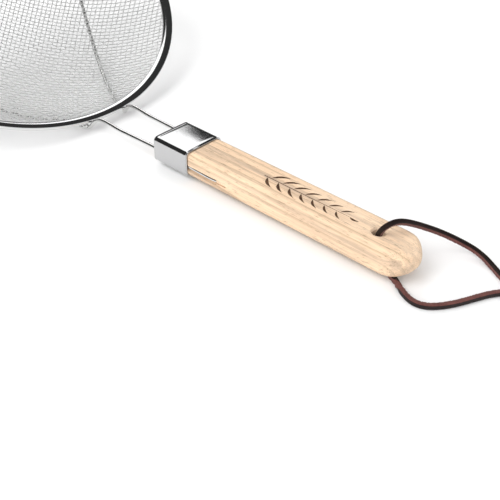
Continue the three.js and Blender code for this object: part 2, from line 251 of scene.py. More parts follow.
# ---- materials ----
def steel_material(name, colour, low, high, streaks, wear, metallic=1.0):
    """Polished stainless steel with faint draw lines, smudges and fine scratches."""
    material, tree, shader = new_material(name)
    fine = noise(tree, stretched(tree, streaks), 1.0, 3.0, 0.6)
    smudge = noise(tree, stretched(tree, (1, 1, 1)), 90.0, 3.0, 0.55)
    both = math_node(tree, "ADD", math_node(tree, "MULTIPLY", fine, 0.5),
                     math_node(tree, "MULTIPLY", smudge, 0.5))
    rough = add_node(tree, "ShaderNodeMapRange", {0: both, 1: 0.35, 2: 0.65, 3: low, 4: high})
    tree.links.new(rough.outputs[0], shader.inputs["Roughness"])
    darker = tuple(c * 0.9 for c in colour[:3]) + (1,)
    tree.links.new(mix_colour(tree, smudge, darker, colour), shader.inputs["Base Color"])
    shader.inputs["Metallic"].default_value = metallic
    bump(tree, shader, fine, wear, 0.35)
    return material


POLISHED = steel_material(
    "polished_steel", (0.60, 0.60, 0.605, 1), 0.035, 0.09, (900, 2600, 2600), 0.00002
)
RIM_STEEL = steel_material(
    "rim_steel", (0.76, 0.76, 0.765, 1), 0.05, 0.13, (600, 600, 600), 0.00002
)
WIRE_STEEL = steel_material(
    "wire_steel", (0.83, 0.83, 0.82, 1), 0.08, 0.2, (400, 3000, 3000), 0.00002
)
MESH_STEEL = steel_material(
    "mesh_steel", (0.97, 0.97, 0.965, 1), 0.26, 0.38, (1500, 1500, 1500), 0.00002, 0.8
)


def wood_material():
    """Open-pored pale ash: growth rings cut nearly lengthwise, grey streaks, pores, ticks."""
    material, tree, shader = new_material("ash_wood")
    rings_at = stretched(tree, (0.9, 11, 11), rotation=(0.35, 0.02, 0.035),
                         location=(0, 0.33, 0.27))
    rings = add_node(
        tree,
        "ShaderNodeTexWave",
        {"Vector": rings_at, "Scale": 9.0, "Distortion": 5.0, "Detail": 3.0,
         "Detail Scale": 0.55, "Detail Roughness": 0.6},
        wave_type="RINGS", rings_direction="X", wave_profile="SAW",
    ).outputs["Fac"]
    tone = ramp(tree, rings, [
        (0.0, (0.76, 0.55, 0.37)), (0.5, (0.80, 0.585, 0.40)),
        (0.82, (0.66, 0.475, 0.32)), (0.95, (0.50, 0.36, 0.24)), (1.0, (0.75, 0.54, 0.36)),
    ])
    streak = noise(tree, stretched(tree, (11, 190, 190)), 1.0, 4.0, 0.62, 0.6)
    tone = mix_colour(tree, ramp(tree, streak, [(0.47, grey(0)), (0.64, grey(0.85))]),
                      tone, (0.49, 0.365, 0.265, 1))
    pale = noise(tree, stretched(tree, (9, 90, 90), location=(2, 1, 3)), 1.0, 3.0, 0.5, 0.4)
    tone = mix_colour(tree, ramp(tree, pale, [(0.5, grey(0)), (0.68, grey(0.7))]),
                      tone, (0.82, 0.63, 0.455, 1))
    fibre = noise(tree, stretched(tree, (60, 2600, 2600)), 1.0, 4.0, 0.6)
    fibres = ramp(tree, fibre, [(0.3, (0.90, 0.89, 0.88)), (0.62, (1.12, 1.12, 1.13))])
    tone = mix_colour(tree, 1.0, tone, fibres, "MULTIPLY")
    pores = noise(tree, stretched(tree, (240, 2800, 2800)), 1.0, 2.0, 0.5)
    pore = ramp(tree, pores, [(0.0, grey(1)), (0.33, grey(1)), (0.39, grey(0))])
    tone = mix_colour(tree, math_node(tree, "MULTIPLY", pore, 0.6), tone,
                      (0.27, 0.185, 0.12, 1))
    tree.links.new(tone, shader.inputs["Base Color"])
    shader.inputs["Roughness"].default_value = 0.62
    shader.inputs["Specular IOR Level"].default_value = 0.3
    relief = math_node(tree, "SUBTRACT", fibre, math_node(tree, "MULTIPLY", pore, 1.2))
    bump(tree, shader, relief, 0.00008, 0.6)
    return material


def burned_material():
    material, tree, shader = new_material("burned_wood")
    grain = noise(tree, stretched(tree, (200, 2600, 2600)), 1.0, 3.0, 0.6)
    tone = ramp(tree, grain, [
        (0.3, (0.04, 0.016, 0.008)), (0.58, (0.09, 0.04, 0.018)), (0.8, (0.26, 0.14, 0.075)),
    ])
    tree.links.new(tone, shader.inputs["Base Color"])
    shader.inputs["Roughness"].default_value = 0.8
    bump(tree, shader, grain, 0.00008, 0.6)
    return material


def leather_material(name, colour, second, roughness, fuzz):
    material, tree, shader = new_material(name)
    grain = noise(tree, stretched(tree, (1, 1, 1)), 1600.0, 5.0, 0.65)
    patch = noise(tree, stretched(tree, (1, 1, 1)), 260.0, 3.0, 0.5)
    mixed = math_node(tree, "ADD", math_node(tree, "MULTIPLY", grain, 0.6),
                      math_node(tree, "MULTIPLY", patch, 0.4))
    factor = ramp(tree, mixed, [(0.35, grey(0)), (0.65, grey(1))])
    tree.links.new(mix_colour(tree, factor, colour, second), shader.inputs["Base Color"])
    shader.inputs["Roughness"].default_value = roughness
    shader.inputs["Specular IOR Level"].default_value = 0.22
    shader.inputs["Sheen Weight"].default_value = fuzz
    bump(tree, shader, grain, 0.00012, 0.7)
    return material


WOOD = wood_material()
BURNED = burned_material()
LEATHER_FACE = leather_material(
    "lace_face", (0.007, 0.0045, 0.0045, 1), (0.022, 0.012, 0.010, 1), 0.5, 0.0
)
LEATHER_EDGE = leather_material(
    "lace_cut_edge", (0.085, 0.029, 0.025, 1), (0.17, 0.066, 0.056, 1), 0.85, 0.12
)


# ---- mesh helpers ----
def add_mesh(name, vertices, faces, matrix=Matrix.Identity(4), smooth=True):
    mesh = bpy.data.meshes.new(name)
    mesh.from_pydata([tuple(matrix @ Vector(v)) for v in vertices], [], faces)
    mesh.update()
    obj = bpy.data.objects.new(name, mesh)
    bpy.context.collection.objects.link(obj)
    if smooth:
        mesh.shade_smooth()
    return obj


def set_material(obj, *materials):
    for material in materials:
        obj.data.materials.append(material)


def finish_piece(obj, slot, *nodes):
    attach(obj, BODY)
    if nodes:
        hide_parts(*nodes)
    return obj


def smooth_path(points, samples):
    """A centripetal Catmull-Rom curve through the points."""
    points = [Vector(p) for p in points]
    first = points[0] * 2 - points[1]
    last = points[-1] * 2 - points[-2]
    padded = [first, *points, last]
    path = []
    for i in range(len(points) - 1):
        p0, p1, p2, p3 = padded[i : i + 4]
        t1 = math.sqrt((p1 - p0).length)
        t2 = t1 + math.sqrt((p2 - p1).length)
        t3 = t2 + math.sqrt((p3 - p2).length)
        for k in range(samples):
            t = t1 + (t2 - t1) * k / samples
            a1 = p0 * ((t1 - t) / t1) + p1 * (t / t1)
            a2 = p1 * ((t2 - t) / (t2 - t1)) + p2 * ((t - t1) / (t2 - t1))
            a3 = p2 * ((t3 - t) / (t3 - t2)) + p3 * ((t - t2) / (t3 - t2))
            b1 = a1 * ((t2 - t) / t2) + a2 * (t / t2)
            b2 = a2 * ((t3 - t) / (t3 - t1)) + a3 * ((t - t1) / (t3 - t1))
            path.append(b1 * ((t2 - t) / (t2 - t1)) + b2 * ((t - t1) / (t2 - t1)))
    path.append(points[-1])
    return path


def sweep(path, section, scales=None, twists=None):
    """A section swept along a path, closed at both ends; each ring may be scaled or twisted."""
    vertices, faces = [], []
    count = len(section)
    side = None
    for i, place in enumerate(path):
        ahead = path[min(i + 1, len(path) - 1)] - path[max(i - 1, 0)]
        ahead.normalize()
        if side is None:
            side = ahead.cross(Vector((0, 0, 1))).normalized()
        else:
            side = (side - ahead * side.dot(ahead)).normalized()
        over = side.cross(ahead)
        scale = scales[i] if scales else 1.0
        twist = twists[i] if twists else 0.0
        across = (side * math.cos(twist) + over * math.sin(twist)) * scale
        up = (over * math.cos(twist) - side * math.sin(twist)) * scale
        for x, y in section:
            vertices.append(place + across * x + up * y)
    for i in range(len(path) - 1):
        for k in range(count):
            a = i * count + k
            b = i * count + (k + 1) % count
            faces.append((a, b, b + count, a + count))
    faces.append(tuple(reversed(range(count))))
    faces.append(tuple(range(len(vertices) - count, len(vertices))))
    return vertices, faces


def circle(radius, sides):
    return [
        (radius * math.cos(2 * math.pi * k / sides), radius * math.sin(2 * math.pi * k / sides))
        for k in range(sides)
    ]


def round_ends(path, radius):
    """Scale of each ring that rounds off both ends of a swept wire."""
    travelled = [0.0]
    for a, b in zip(path, path[1:]):
        travelled.append(travelled[-1] + (b - a).length)
    total = travelled[-1]
    scales = []
    for s in travelled:
        edge = min(s, total - s) / radius
        scales.append(math.sqrt(max(1 - (1 - min(edge, 1)) ** 2, 0.06)))
    return scales


# ---- bowl ----
def bowl_height(radius):
    return -BOWL_DEPTH * (1 - (radius / RIM_RADIUS) ** BOWL_FULLNESS)


def bowl_slope(radius):
    share = (radius / RIM_RADIUS) ** (BOWL_FULLNESS - 1)
    return BOWL_DEPTH * BOWL_FULLNESS * share / RIM_RADIUS


def woven_mesh():
    """Every wire of the plain weave, over and under its neighbours, pressed into a bowl."""
    rng = np.random.default_rng(7)
    sides = 6
    ring = np.array(circle(MESH_WIRE / 2, sides))
    reach = int(MESH_EDGE / MESH_PITCH)
    vertices, faces = [], []
    start = 0
    for family in (0, 1):
        for j in range(-reach, reach + 1):
            offset = j * MESH_PITCH + rng.normal(0, MESH_WOBBLE)
            half = math.sqrt(MESH_EDGE**2 - offset**2) if abs(offset) < MESH_EDGE else 0
            if half < MESH_PITCH:
                continue
            steps = int(half / MESH_PITCH)
            along = np.arange(-2 * steps, 2 * steps + 1) * MESH_PITCH / 2
            inner = along[np.abs(along) < half - MESH_END_GAP]
            along = np.concatenate(([-half], inner, [half]))
            phase = np.cos(math.pi * along / MESH_PITCH) * (-1) ** j
            lift = phase * MESH_WIRE * 0.5 * (1 if family else -1)
            across = np.full_like(along, offset)
            u, v = (along, across) if family else (across, along)
            radius = np.hypot(u, v)
            slope = bowl_slope(radius)
            scale = 1 / np.sqrt(1 + slope**2)
            safe = np.maximum(radius, 1e-9)
            normal = np.stack([-slope * u / safe, -slope * v / safe, np.ones_like(u)], 1)
            normal *= scale[:, None]
            centre = np.stack([u, v, bowl_height(radius)], 1) + normal * (lift + MESH_RISE)[:, None]
            ahead = np.gradient(centre, axis=0)
            ahead /= np.linalg.norm(ahead, axis=1)[:, None]
            side = np.cross(ahead, normal)
            side /= np.linalg.norm(side, axis=1)[:, None]
            over = np.cross(side, ahead)
            rings = (
                centre[:, None, :]
                + side[:, None, :] * ring[None, :, :1]
                + over[:, None, :] * ring[None, :, 1:]
            )
            count = len(along)
            vertices.append(rings.reshape(-1, 3))
            index = start + np.arange(count * sides).reshape(count, sides)
            turned = np.roll(index, -1, axis=1)
            quads = np.stack([index[:-1], turned[:-1], turned[1:], index[1:]], 2)
            faces.extend(map(tuple, quads.reshape(-1, 4).tolist()))
            faces.append(tuple(index[0][::-1].tolist()))
            faces.append(tuple(index[-1].tolist()))
            start += count * sides
    points = np.concatenate(vertices)
    matrix = np.array(RIM @ Matrix.Rotation(MESH_TURN, 4, "Z"))
    points = points @ matrix[:3, :3].T + matrix[:3, 3]
    obj = add_mesh("woven_bowl", points.tolist(), faces)
    set_material(obj, MESH_STEEL)
    return finish_piece(obj, "mesh_steel", "mesh_bowl")


# ---- rim ----
RIM_SIDES = 44
RIM_SEGMENTS = 288


def spun(profile, segments):
    """A closed profile in (radius, height) turned about the bowl's axis."""
    vertices, faces = [], []
    count = len(profile)
    for i in range(segments):
        angle = 2 * math.pi * i / segments
        for r, z in profile:
            vertices.append((r * math.cos(angle), r * math.sin(angle), z))
        for k in range(count):
            a, b = i * count + k, i * count + (k + 1) % count
            c, d = (b + count) % (segments * count), (a + count) % (segments * count)
            faces.append((a, d, c, b))
    return vertices, faces


def rolled_rim():
    """The folded strip, rolled into an oval tube over the mesh's edge."""
    profile = []
    for k in range(RIM_SIDES):
        angle = 2 * math.pi * (k + 0.5) / RIM_SIDES
        x = HEM_WIDTH / 2 * math.cos(angle)
        turned = Vector((x, HEM_THICKNESS / 2 * math.sin(angle), 0))
        turned.rotate(Matrix.Rotation(HEM_TILT, 3, "Z"))
        profile.append((RIM_RADIUS + turned.x, turned.y))
    vertices, faces = spun(profile, RIM_SEGMENTS)
    obj = add_mesh("rolled_rim", vertices, faces, RIM)
    set_material(obj, RIM_STEEL)
    return finish_piece(obj, "polished_steel", "rim_hem")


# ---- frame wires ----
def support_height(radius):
    gap = MESH_SHELL_HALF + SUPPORT_GAP + WIRE_DIAMETER / 2
    under_wall = bowl_height(radius) - gap * math.hypot(1, bowl_slope(radius))
    hem_depth = HEM_THICKNESS / 2 + CLEARANCE + WIRE_DIAMETER / 2
    return min(under_wall, -hem_depth)


def wire_height(x):
    """The wires sink a little below the middle of the handle towards their hooks."""
    share = min(max((x - FERRULE_START) / (HOOK_X - FERRULE_START), 0), 1)
    return HANDLE_HEIGHT - WIRE_DROP_MOUTH - (WIRE_DROP_HOOK - WIRE_DROP_MOUTH) * share


def frame_wire_path(side):
    y_handle = side * WIRE_SPACING_HANDLE / 2
    y_rim = side * WIRE_SPACING_RIM / 2
    bend = HOOK_BEND
    corner = HOOK_CORNER_SHARE * bend

    def at(x, y):
        return BENCH @ Vector((x, y, wire_height(x)))

    groove = HOOK_X - bend - FERRULE_START
    points = [
        at(HOOK_X, y_handle - side * HOOK_DEPTH),
        at(HOOK_X, y_handle - side * bend),
        at(HOOK_X - corner, y_handle - side * corner),
        at(HOOK_X - bend, y_handle),
        at(HOOK_X - bend - groove / 2, y_handle),
        at(FERRULE_START, y_handle),
        at(FERRULE_START - FERRULE_GAP / 2, (y_handle + y_rim) / 2),
        at(RIM_HANDLE_X + DIP_START, y_rim),
    ]
    hem_clear = HEM_WIDTH / 2 + CLEARANCE + WIRE_DIAMETER / 2
    dips = (
        (RIM_RADIUS + DIP_REACH * hem_clear, y_rim + side * DIP_SPREAD, -DIP_HEIGHT),
        (RIM_RADIUS - UNDER_RIM_INSET, y_rim + side * UNDER_RIM_SPREAD, -UNDER_RIM_HEIGHT),
    )
    points += [RIM @ Vector(dip) for dip in dips]
    for i in range(SUPPORT_STEPS + 1):
        along = i / SUPPORT_STEPS * (SUPPORT_START_REACH - SUPPORT_END_REACH)
        y = SUPPORT_START_SPACING / 2 + SUPPORT_SPREAD * along - SUPPORT_CURL * along**2
        reach = SUPPORT_START_REACH - along
        radius = min(math.hypot(reach, y), RIM_RADIUS)
        points.append(RIM @ Vector((reach, side * y, support_height(radius))))
    return smooth_path(points, 14)


def frame_wire(side, name, node):
    path = frame_wire_path(side)
    scales = round_ends(path, WIRE_DIAMETER / 2)
    vertices, faces = sweep(path, circle(WIRE_DIAMETER / 2, WIRE_SIDES), scales=scales)
    obj = add_mesh(name, vertices, faces)
    set_material(obj, WIRE_STEEL)
    return finish_piece(obj, "polished_steel", node)


WELD_OUT = 0.7 * MM
WELD_ASIDE = 2.6 * MM
WELD_DROP = 2.3 * MM
WELD_RADIUS = 1.5 * MM
WELD_HALF_HEIGHT = 1.35 * MM
WELD_STRETCH = 1.1
WELD_LUMPS = 0.05
WELD_RINGS = 12


def weld_bead(side, name):
    """A small lump of weld where a frame wire passes under the rim."""
    y = side * (WIRE_SPACING_RIM / 2 + WELD_ASIDE)
    centre = RIM @ Vector((RIM_RADIUS + WELD_OUT, y, -WELD_DROP))
    rng = np.random.default_rng(40 + side)
    rings = []
    for k in range(1, WELD_RINGS):
        turn = math.pi * k / WELD_RINGS
        height = -WELD_HALF_HEIGHT * math.cos(turn)
        ring = []
        for x, y in circle(WELD_RADIUS * math.sin(turn), WIRE_SIDES):
            lump = 1 + WELD_LUMPS * float(rng.normal())
            ring.append(centre + Vector((x * WELD_STRETCH * lump, y * lump, height)))
        rings.append(ring)
    obj = add_mesh(name, *stacked(rings))
    face_out(obj)
    set_material(obj, WIRE_STEEL)
    return finish_piece(obj, "polished_steel")


# ---- ferrule ----
def rounded_box_outline(width, height, corner, steps):
    outline = []
    for quarter, (sx, sy) in enumerate(((1, 1), (-1, 1), (-1, -1), (1, -1))):
        for k in range(steps + 1):
            angle = math.pi / 2 * (quarter + k / steps)
            outline.append(
                (
                    sx * (width / 2 - corner) + corner * math.cos(angle),
                    sy * (height / 2 - corner) + corner * math.sin(angle),
                )
            )
    return outline


def split_long_edges(outline, most):
    """The outline with points added so that no edge is longer than most."""
    finer = []
    for (x0, y0), (x1, y1) in zip(outline, outline[1:] + outline[:1]):
        parts = max(1, math.ceil(math.hypot(x1 - x0, y1 - y0) / most))
        finer += [(x0 + (x1 - x0) * k / parts, y0 + (y1 - y0) * k / parts) for k in range(parts)]
    return finer


def stacked(rings, closed_loop=False):
    """Faces that join rings of equal count, one after the other."""
    count = len(rings[0])
    faces = []
    for i in range(len(rings) if closed_loop else len(rings) - 1):
        n = (i + 1) % len(rings)
        for k in range(count):
            m = (k + 1) % count
            faces.append((i * count + k, n * count + k, n * count + m, i * count + m))
    if not closed_loop:
        faces.append(tuple(range(count)))
        faces.append(tuple(reversed(range((len(rings) - 1) * count, len(rings) * count))))
    return [v for ring in rings for v in ring], faces


MOUTH_EASE = 0.22 * MM
MOUTH_STEPS = 4
CROWN_AT_MOUTH = 0.02 * MM
CROWN_AT_GRIP = 0.20 * MM
SLEEVE_LENGTH_STEPS = 16
SLEEVE_INNER_STEPS = 9
SLEEVE_EDGE_LENGTH = 0.8 * MM


def ferrule():
    """A pressed sleeve: eased mouths, and broad faces that the press left a little bowed."""
    outer = split_long_edges(
        rounded_box_outline(FERRULE_WIDTH, FERRULE_THICKNESS, FERRULE_CORNER, 10),
        SLEEVE_EDGE_LENGTH,
    )
    flat_half = FERRULE_WIDTH / 2 - FERRULE_CORNER
    rings = []

    def ring(x, inset):
        along = (x - FERRULE_START) / FERRULE_LENGTH
        crown = CROWN_AT_MOUTH + (CROWN_AT_GRIP - CROWN_AT_MOUTH) * along
        points = []
        for y, z in outer:
            scale_y = 1 - 2 * inset / FERRULE_WIDTH
            scale_z = 1 - 2 * inset / FERRULE_THICKNESS
            bow = 0.0
            if abs(y) < flat_half:
                bow = (1 - (y / flat_half) ** 2) * crown
            points.append(
                (x, y * scale_y, HANDLE_HEIGHT + z * scale_z + math.copysign(bow, z))
            )
        rings.append(points)

    ease = MOUTH_EASE
    turns = [math.pi / 2 * k / MOUTH_STEPS for k in range(MOUTH_STEPS + 1)]
    for turn in turns:
        ring(FERRULE_START + ease * (1 - math.sin(turn)), ease * (1 - math.cos(turn)))
    for k in range(1, SLEEVE_LENGTH_STEPS):
        ring(FERRULE_START + ease + (FERRULE_LENGTH - 2 * ease) * k / SLEEVE_LENGTH_STEPS, 0)
    for turn in turns:
        ring(FERRULE_END - ease * math.cos(turn), ease * (1 - math.cos(math.pi / 2 - turn)))
    ring(FERRULE_END, FERRULE_WALL)
    for k in range(SLEEVE_INNER_STEPS, -1, -1):
        ring(FERRULE_START + FERRULE_LENGTH * k / SLEEVE_INNER_STEPS, FERRULE_WALL)
    vertices, faces = stacked(rings, closed_loop=True)
    obj = add_mesh("ferrule_sleeve", vertices, faces, BENCH)
    set_material(obj, POLISHED)
    return finish_piece(obj, "polished_steel", "ferrule")


# ---- grip ----
NECK_WIDTH = FERRULE_WIDTH - 2 * FERRULE_WALL - 2 * CLEARANCE
NECK_THICKNESS = FERRULE_THICKNESS - 2 * FERRULE_WALL - 2 * CLEARANCE
NECK_SETBACK = 0.8 * MM
SHOULDER = 0.7 * MM
END_LENGTH = 12.6 * MM
END_ROUNDING = 8.0 * MM
GROOVE_HEIGHT = 2.8 * MM
GROOVE_DEPTH = 2.6 * MM
SAW_OVERRUN = 6 * MM
SAW_KERF = 0.8 * MM
SAW_DEPTH = 1.2 * MM
GROOVE_PAST_HOOK = 0.6 * MM
HOOK_HOLE_RADIUS = 1.2 * MM
HOOK_HOLE_DEPTH = 4 * MM
HOLE_CHAMFER = 0.8 * MM
CUT_PAST = 1 * MM
NECK_OVERLAP = 2 * MM
LEAST_SIZE = 0.3 * MM
CORNER_STEPS = 9
EDGE_PARTS = 5
SHOULDER_STEPS = 4
GRIP_STEPS = 60
END_STEPS = 30


def grip_section(x, shrink=0.0):
    """The grip's cross-section at x, rounding over towards its far end."""
    t = min(max((x - (GRIP_END - END_LENGTH)) / END_LENGTH, 0), 1)
    width = max(GRIP_WIDTH * (1 - t**2) ** 0.5, LEAST_SIZE)
    t = min(max((x - (GRIP_END - END_ROUNDING)) / END_ROUNDING, 0), 1)
    thickness = max(GRIP_THICKNESS * (1 - t**2.2) ** (1 / 2.2), LEAST_SIZE)
    corner = min(GRIP_EDGE_RADIUS * (1 + 0.5 * t), thickness * 0.49, width * 0.49)
    outline = rounded_box_outline(width - shrink, thickness - shrink, corner, CORNER_STEPS)
    finer = []
    for n, (a, b) in enumerate(zip(outline, outline[1:] + outline[:1])):
        parts = EDGE_PARTS if (n + 1) % (CORNER_STEPS + 1) == 0 else 1
        finer += [
            (a[0] + (b[0] - a[0]) * k / parts, a[1] + (b[1] - a[1]) * k / parts)
            for k in range(parts)
        ]
    return [(x, y, HANDLE_HEIGHT + z) for y, z in finer]


def cutter(vertices, faces):
    return add_mesh("cutter", vertices, faces, BENCH, smooth=False)


def box_cutter(low, high):
    (x0, y0, z0), (x1, y1, z1) = low, high
    rings = [[(x, y0, z0), (x, y1, z0), (x, y1, z1), (x, y0, z1)] for x in (x0, x1)]
    return cutter(*stacked(rings))


def tube_cutter(a, b, radii, sides=28):
    a, b = Vector(a), Vector(b)
    axis = (b - a).normalized()
    side = axis.orthogonal().normalized()
    over = axis.cross(side)
    rings = []
    for share, radius in radii:
        centre = a.lerp(b, share)
        rings.append([centre + side * x + over * y for x, y in circle(radius, sides)])
    return cutter(*stacked(rings))


def boolean(obj, other, operation):
    modifier = obj.modifiers.new("cut", "BOOLEAN")
    modifier.operation = operation
    modifier.solver = "EXACT"
    modifier.object = other
    evaluated = obj.evaluated_get(bpy.context.evaluated_depsgraph_get())
    mesh = bpy.data.meshes.new_from_object(evaluated)
    obj.modifiers.clear()
    obj.data = mesh
    bpy.data.objects.remove(other)


def face_out(obj):
    work = bmesh.new()
    work.from_mesh(obj.data)
    bmesh.ops.recalc_face_normals(work, faces=work.faces)
    work.to_mesh(obj.data)
    work.free()


def grip_body():
    """The grip with its neck, side grooves, hook holes, saw marks and flared hanging hole."""
    turns = [math.pi / 2 * k / SHOULDER_STEPS for k in range(SHOULDER_STEPS + 1)]
    stations = [FERRULE_END + CLEARANCE + SHOULDER * (1 - math.cos(turn)) for turn in turns]
    shrink = [2 * SHOULDER * (1 - math.sin(turn)) for turn in turns]
    straight_start = stations[-1]
    straight_end = GRIP_END - END_LENGTH
    for k in range(1, GRIP_STEPS + 1):
        stations.append(straight_start + (straight_end - straight_start) * k / GRIP_STEPS)
    for k in range(1, END_STEPS + 1):
        stations.append(straight_end + END_LENGTH * math.sin(math.pi / 2 * k / END_STEPS))
    shrink += [0.0] * (len(stations) - len(shrink))
    rings = [grip_section(x, s) for x, s in zip(stations, shrink)]
    obj = cutter(*stacked(rings))
    obj.name = "ash_grip"
    face_out(obj)

    neck = rounded_box_outline(NECK_WIDTH, NECK_THICKNESS, FERRULE_CORNER - FERRULE_WALL, 6)
    neck_ends = (FERRULE_START + NECK_SETBACK, FERRULE_END + NECK_OVERLAP)
    tenon = cutter(*stacked([[(x, y, HANDLE_HEIGHT + z) for y, z in neck] for x in neck_ends]))
    face_out(tenon)
    boolean(obj, tenon, "UNION")

    cutters = []
    groove_end = HOOK_X + GROOVE_PAST_HOOK
    groove_start = FERRULE_START - CUT_PAST
    level = wire_height(FERRULE_END + WIRE_RUN_IN_GRIP / 2)
    for side in (-1, 1):
        wall = side * (GRIP_WIDTH / 2 + 2 * CUT_PAST)
        seat = side * (GRIP_WIDTH / 2 - GROOVE_DEPTH)
        middle = side * (GRIP_WIDTH / 2 - GROOVE_DEPTH + GROOVE_HEIGHT / 2)
        low_y, high_y = sorted((wall, middle))
        cutters.append(box_cutter(
            (groove_start, low_y, level - GROOVE_HEIGHT / 2),
            (groove_end, high_y, level + GROOVE_HEIGHT / 2),
        ))
        cutters.append(tube_cutter(
            (groove_start, middle, level),
            (groove_end + 0.5 * MM, middle, level),
            ((0, GROOVE_HEIGHT / 2), (0.985, GROOVE_HEIGHT / 2), (1, GROOVE_HEIGHT / 4)),
        ))
        cutters.append(tube_cutter(
            (HOOK_X, wall, level), (HOOK_X, seat - side * HOOK_HOLE_DEPTH, level),
            ((0, HOOK_HOLE_RADIUS), (1, HOOK_HOLE_RADIUS)),
        ))
        low_y, high_y = sorted((wall, side * (GRIP_WIDTH / 2 - SAW_DEPTH)))
        cutters.append(box_cutter(
            (groove_end - CUT_PAST, low_y, level - SAW_KERF / 2),
            (groove_end + SAW_OVERRUN, high_y, level + SAW_KERF / 2),
        ))
    reach = GRIP_THICKNESS / 2 + CUT_PAST
    hole = HOLE_DIAMETER / 2
    flare = hole + HOLE_CHAMFER + CUT_PAST
    flared = (CUT_PAST + HOLE_CHAMFER) / (2 * reach)
    cutters.append(tube_cutter(
        (HOLE_X, 0, HANDLE_HEIGHT - reach), (HOLE_X, 0, HANDLE_HEIGHT + reach),
        ((0, flare), (flared, hole), (1 - flared, hole), (1, flare)),
        sides=40,
    ))
    for other in cutters:
        face_out(other)
        boolean(obj, other, "DIFFERENCE")
    obj.data.shade_smooth()
    obj.data.set_sharp_from_angle(angle=math.radians(38))
    obj.data.materials.clear()
    set_material(obj, WOOD)
    return finish_piece(obj, "wood", "handle_grip")


# ---- burned ornament: a sprig of slender leaves along the top of the grip ----
SPRIG_START = 186 * MM
SPRIG_PITCH = 6.4 * MM
SPRIG_PAIRS = 7
LEAF_LENGTH = 8.6 * MM
LEAF_WIDTH = 1.5 * MM
SPRIG_LEAN = math.radians(38)
LEAF_STEPS = 8
LEAF_BEND = 0.12  # of the leaf's length
LEAF_SHRINK = 0.05  # each pair of leaves against the one before
STEM_WIDTH = 0.5 * MM
STEM_TAPER = 0.6
STEM_STEPS = 24
BURN_RISE = 0.03 * MM


def burned_sprig():
    """A stem with pairs of leaves, as thin faces just above the wood."""
    top = HANDLE_HEIGHT + GRIP_THICKNESS / 2 + BURN_RISE
    vertices, faces = [], []

    def leaf(x, y, angle, length, width):
        start = len(vertices)
        for side in (1, -1):
            for k in range(LEAF_STEPS + 1):
                along = k / LEAF_STEPS
                half = width / 2 * math.sin(math.pi * along**0.8) * side
                turned = 1 if angle > 0 else -1
                bend = LEAF_BEND * length * math.sin(math.pi * along) * turned
                px = length * along
                py = half + bend
                vertices.append((
                    x + px * math.cos(angle) - py * math.sin(angle),
                    y + px * math.sin(angle) + py * math.cos(angle),
                    top,
                ))
        for k in range(LEAF_STEPS):
            a, b = start + k, start + LEAF_STEPS + 1 + k
            faces.append((a, b, b + 1, a + 1))

    length = SPRIG_PITCH * (SPRIG_PAIRS + 0.4)
    for k in range(STEM_STEPS + 1):
        x = SPRIG_START + length * k / STEM_STEPS
        half = STEM_WIDTH / 2 * (1 - STEM_TAPER * k / STEM_STEPS)
        vertices += [(x, half, top), (x, -half, top)]
    for k in range(STEM_STEPS):
        a = 2 * k
        faces.append((a, a + 1, a + 3, a + 2))
    for n in range(SPRIG_PAIRS):
        x = SPRIG_START + SPRIG_PITCH * (n + 0.35)
        size = 1 - LEAF_SHRINK * n
        for side in (1, -1):
            leaf(x + 0.25 * SPRIG_PITCH * (side > 0), 0.35 * MM * side, SPRIG_LEAN * side,
                 LEAF_LENGTH * size, LEAF_WIDTH * size)
    leaf(SPRIG_START + length, 0, 0.0, LEAF_LENGTH * 0.6, LEAF_WIDTH * 0.8)
    obj = add_mesh("burned_sprig", vertices, faces, BENCH, smooth=False)
    face_out(obj)
    set_material(obj, BURNED)
    return finish_piece(obj, "wood")


def cover_hidden_wire():
    """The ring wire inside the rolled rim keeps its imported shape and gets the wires' steel."""
    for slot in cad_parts["rim_core_wire"].material_slots:
        slot.material = WIRE_STEEL


woven_mesh()
rolled_rim()
cover_hidden_wire()
frame_wire(-1, "frame_wire_near", "frame_wire_right")
frame_wire(1, "frame_wire_far", "frame_wire_left")
weld_bead(-1, "weld_bead_near")
weld_bead(1, "weld_bead_far")
ferrule()
grip_body()
burned_sprig()


# ---- lace ----
UPPER_STRAND = (
    (0, 0, 9.0), (0.2, -0.4, 12.2), (1.2, -1.2, 15.4), (3.0, -0.9, 18.6), (4.6, 1.5, 20.2),
    (5.5, 5.2, 19.6), (6.6, 9.6, 17.7), (8.7, 15.5, 14.4), (13.2, 22.8, 9.9), (19.0, 27.7, 6.4),
    (26.2, 30.3, 3.8), (31.9, 30.1, 2.4), (37.6, 28.0, 1.6), (43.9, 24.9, 1.3), (49.1, 22.9, 1.5),
)
LOWER_STRAND = (
    (0, 0, 8.6), (-0.2, 0.1, 6.4), (0.1, 0.0, 4.4), (1.4, -0.6, 2.3), (3.6, -1.5, 1.4),
    (7.5, -3.2, 1.3), (13.3, -5.8, 1.3), (19.1, -9.3, 1.3), (24.7, -11.9, 1.3),
    (28.6, -12.4, 1.3), (32.3, -11.2, 1.3), (36.2, -7.5, 1.3), (40.1, -1.3, 1.3),
    (43.4, 6.1, 1.3), (46.4, 12.4, 1.3), (50.9, 18.6, 1.5),
)
LOWER_TURN = (20 * MM, 28 * MM)
LACE_STEP = 0.4 * MM
LACE_CORNER = 0.2  # of the strip's half width
LACE_RAGGED = 0.054 * MM
KNOT_PLACE = (52.6, 22.2, 2.6)
KNOT_TURNS = 1.7
KNOT_START = 0.6
KNOT_STEPS = 60
KNOT_LENGTH = 3.6 * MM
KNOT_RADIUS = 1.95
KNOT_TUCK = 0.9  # how far each end of the wrap is tucked in
KNOT_FLATNESS = 0.62
TAIL_LENGTH = 13 * MM
TAIL_ANGLES = (12, 58)
TAIL_BACK = 2.2 * MM


